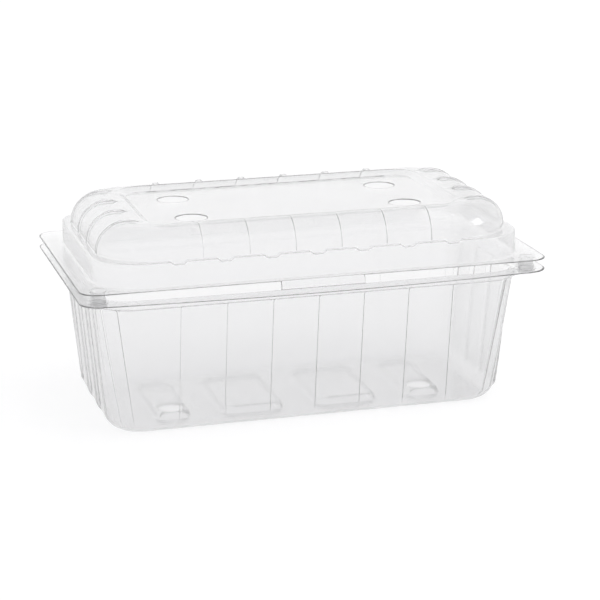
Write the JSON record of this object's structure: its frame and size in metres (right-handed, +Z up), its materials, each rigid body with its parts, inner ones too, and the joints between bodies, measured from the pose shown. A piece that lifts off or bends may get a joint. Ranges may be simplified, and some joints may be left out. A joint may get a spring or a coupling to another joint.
{
  "type": "plastic clamshell pack",
  "caption": "Hinged clear clamshell pack: a ribbed tray with raised floor pads and a domed, vented lid that snaps shut at its front corners.",
  "frame": {"origin": "centre of the pack's footprint, on the surface it rests on", "axes": "+X along the pack, +Y towards the hinge, +Z up; the lift tab is on the -Y side"},
  "size_m": [0.188, 0.1082, 0.0848],
  "materials": {
    "clear_sheet": "clear, glossy formed sheet"
  },
  "bodies": {
    "tray": {"tray": "clear_sheet"},
    "lid": {"lid": "clear_sheet"}
  },
  "joints": [
    {"name": "lid_hinge", "type": "hinge", "parent": "tray", "child": "lid", "pos_m": [0, 0.05425, 0.06025], "axis": [-1, 0, 0], "range_deg": [0, 180]}
  ]
}
